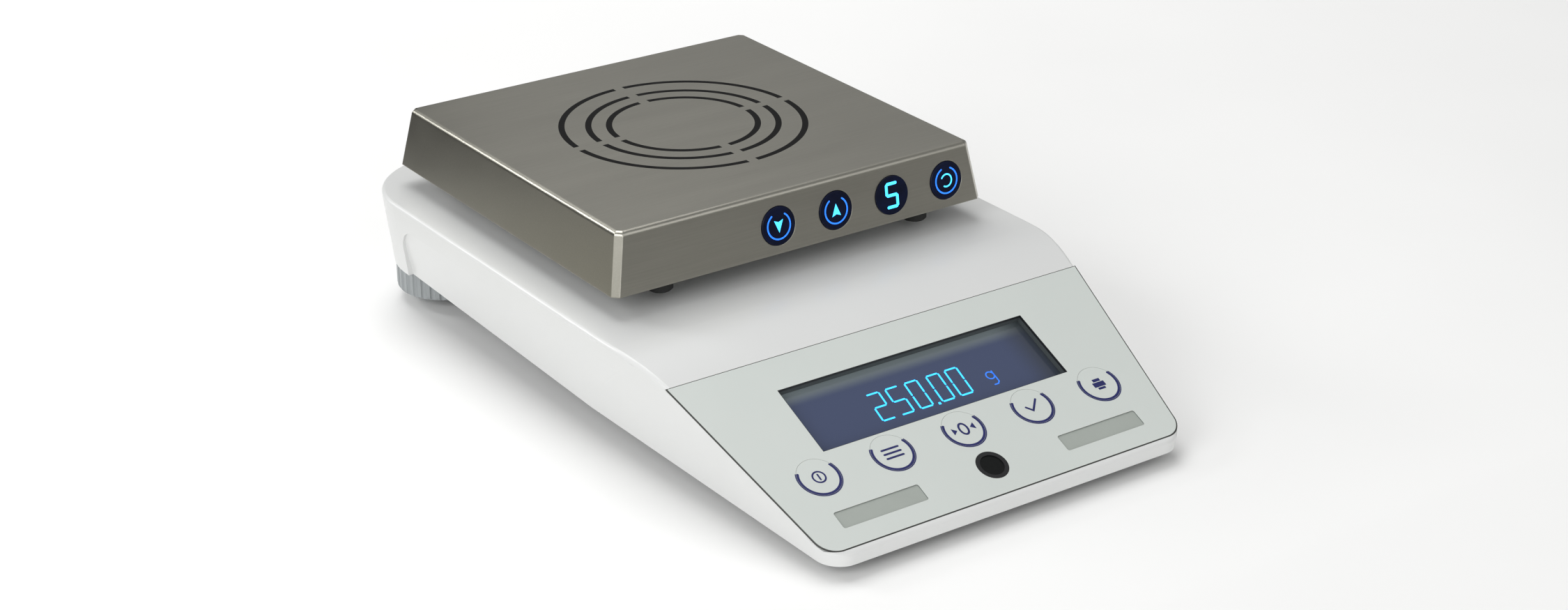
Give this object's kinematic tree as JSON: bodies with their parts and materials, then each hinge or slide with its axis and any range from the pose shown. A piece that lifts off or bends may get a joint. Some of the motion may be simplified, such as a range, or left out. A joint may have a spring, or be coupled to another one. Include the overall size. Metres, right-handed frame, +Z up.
{
  "type": "precision balance",
  "caption": "Top-loading precision balance with a sloped control panel, round spirit level, levelling feet, a force-compensation weigh cell and a magnetic stirring pan.",
  "frame": {"origin": "centre of the bounding box's bottom face, on the table under the balance", "axes": "+X to the right seen from the front, +Y to the back, +Z up"},
  "size_m": [0.2228, 0.3537, 0.094],
  "materials": {
    "housing_white": "satin white moulding",
    "tray_grey": "matt moulded",
    "overlay_foil": "satin printed foil",
    "key_foil": "satin printed foil",
    "strip_grey": "matt",
    "bezel_black": "matt",
    "screen_glass": "clear",
    "display_blue": "lit display",
    "board_green": "lacquered board",
    "steel_pan": "brushed stainless steel",
    "steel_plain": "plain",
    "aluminium_cell": "machined",
    "brass": "turned",
    "copper_coil": "wound wire, lacquered",
    "foot_grey": "matt moulded",
    "rubber_black": "matt",
    "button_black": "gloss",
    "magnet_steel": "plated",
    "battery_wrap": "shrink wrap",
    "jack_black": "matt"
  },
  "bodies": {
    "housing": {"base_tray": "tray_grey", "upper_housing": "housing_white", "keypad_overlay": "overlay_foil", "display_bezel": "bezel_black", "display_window": "screen_glass", "display_module": "display_blue", "keypad_board": "board_green", "key_switches": "steel_plain", "main_board": "board_green", "label_strips": "strip_grey", "level_cup": "bezel_black", "level_vial": "screen_glass", "front_feet": "rubber_black", "foot_bushes": "brass", "case_screws": "steel_plain", "cell_base": "aluminium_cell", "lower_guide": "aluminium_cell", "upper_guide": "aluminium_cell", "load_receiver": "aluminium_cell", "lever_flexures": "steel_plain", "coupling_band": "steel_plain", "magnet_pot": "magnet_steel", "position_sensor": "jack_black", "guide_screws": "steel_plain", "cell_screws": "steel_plain", "power_jack": "jack_black", "data_socket": "jack_black", "hook_cover_screw": "steel_plain", "overload_spring": "steel_plain"},
    "lever": {"weigh_lever": "aluminium_cell", "force_coil": "copper_coil"},
    "carrier": {"pan_carrier": "aluminium_cell", "carrier_buffers": "rubber_black"},
    "stirring_pan": {"pan_hood": "steel_pan", "pan_bottom": "steel_plain", "pan_feet": "rubber_black", "stir_motor": "steel_plain", "stir_board": "board_green", "speed_window": "button_black", "battery_pack": "battery_wrap", "pan_screws": "steel_plain"},
    "stir_rotor": {"stir_yoke": "steel_plain", "stir_magnets": "magnet_steel"},
    "hook_cover": {"hook_cover": "tray_grey"},
    "foot_pad_left": {"foot_pad_left": "rubber_black"},
    "foot_wheel_left": {"foot_wheel_left": "foot_grey"},
    "foot_pad_right": {"foot_pad_right": "rubber_black"},
    "foot_wheel_right": {"foot_wheel_right": "foot_grey"},
    "button_down": {"button_down": "button_black"},
    "button_up": {"button_up": "button_black"},
    "button_power": {"button_power": "button_black"},
    "key_1": {"key_1": "key_foil"},
    "key_2": {"key_2": "key_foil"},
    "key_3": {"key_3": "key_foil"},
    "key_4": {"key_4": "key_foil"},
    "key_5": {"key_5": "key_foil"}
  },
  "joints": [
    {"name": "carrier_overload", "type": "slide", "parent": "housing", "child": "carrier", "axis": [0, 0, 1], "range_m": [-0.0012, 0], "stiffness_N_per_m": 20000, "springref_m": 0.004, "deforming": ["overload_spring"]},
    {"name": "pan_lift", "type": "slide", "parent": "carrier", "child": "stirring_pan", "axis": [0, 0, 1], "range_m": [0, 0.05]},
    {"name": "stir_spin", "type": "hinge", "parent": "stirring_pan", "child": "stir_rotor", "pos_m": [0, 0.0613, 0.085], "axis": [0, 0, 1], "continuous": true},
    {"name": "lever_tilt", "type": "hinge", "parent": "housing", "child": "lever", "pos_m": [0, 0.038, 0.036], "axis": [1, 0, 0], "range_deg": [-0.8, 0.8], "stiffness_Nm_per_rad": 2},
    {"name": "hook_cover_swing", "type": "hinge", "parent": "housing", "child": "hook_cover", "pos_m": [0.02, 0.0613, 0.01722], "axis": [0, -0.0499, 0.9988], "range_deg": [0, 100]},
    {"name": "foot_left_height", "type": "slide", "parent": "housing", "child": "foot_pad_left", "axis": [0, 0, -1], "range_m": [0, 0.0045]},
    {"name": "foot_left_turn", "type": "hinge", "parent": "foot_pad_left", "child": "foot_wheel_left", "pos_m": [-0.079, 0.1473, 0.01], "axis": [0, 0, -1], "range_deg": [0, 1080]},
    {"name": "foot_right_height", "type": "slide", "parent": "housing", "child": "foot_pad_right", "axis": [0, 0, -1], "range_m": [0, 0.0045]},
    {"name": "foot_right_turn", "type": "hinge", "parent": "foot_pad_right", "child": "foot_wheel_right", "pos_m": [0.079, 0.1473, 0.01], "axis": [0, 0, -1], "range_deg": [0, 1080]},
    {"name": "button_down_press", "type": "slide", "parent": "stirring_pan", "child": "button_down", "axis": [0, 0.989, -0.1476], "range_m": [0, 0.0008], "stiffness_N_per_m": 1500, "springref_m": -0.0008},
    {"name": "button_up_press", "type": "slide", "parent": "stirring_pan", "child": "button_up", "axis": [0, 0.989, -0.1476], "range_m": [0, 0.0008], "stiffness_N_per_m": 1500, "springref_m": -0.0008},
    {"name": "button_power_press", "type": "slide", "parent": "stirring_pan", "child": "button_power", "axis": [0, 0.989, -0.1476], "range_m": [0, 0.0008], "stiffness_N_per_m": 1500, "springref_m": -0.0008},
    {"name": "key_1_press", "type": "slide", "parent": "housing", "child": "key_1", "axis": [0, 0.4028, -0.9153], "range_m": [0, 0.0004], "stiffness_N_per_m": 1500, "springref_m": -0.0006},
    {"name": "key_2_press", "type": "slide", "parent": "housing", "child": "key_2", "axis": [0, 0.4028, -0.9153], "range_m": [0, 0.0004], "stiffness_N_per_m": 1500, "springref_m": -0.0006},
    {"name": "key_3_press", "type": "slide", "parent": "housing", "child": "key_3", "axis": [0, 0.4028, -0.9153], "range_m": [0, 0.0004], "stiffness_N_per_m": 1500, "springref_m": -0.0006},
    {"name": "key_4_press", "type": "slide", "parent": "housing", "child": "key_4", "axis": [0, 0.4028, -0.9153], "range_m": [0, 0.0004], "stiffness_N_per_m": 1500, "springref_m": -0.0006},
    {"name": "key_5_press", "type": "slide", "parent": "housing", "child": "key_5", "axis": [0, 0.4028, -0.9153], "range_m": [0, 0.0004], "stiffness_N_per_m": 1500, "springref_m": -0.0006}
  ],
  "couplings": [
    {"joint": "foot_left_height", "follows": "foot_left_turn", "m_per_rad": 0.0002387},
    {"joint": "foot_right_height", "follows": "foot_right_turn", "m_per_rad": 0.0002387}
  ]
}
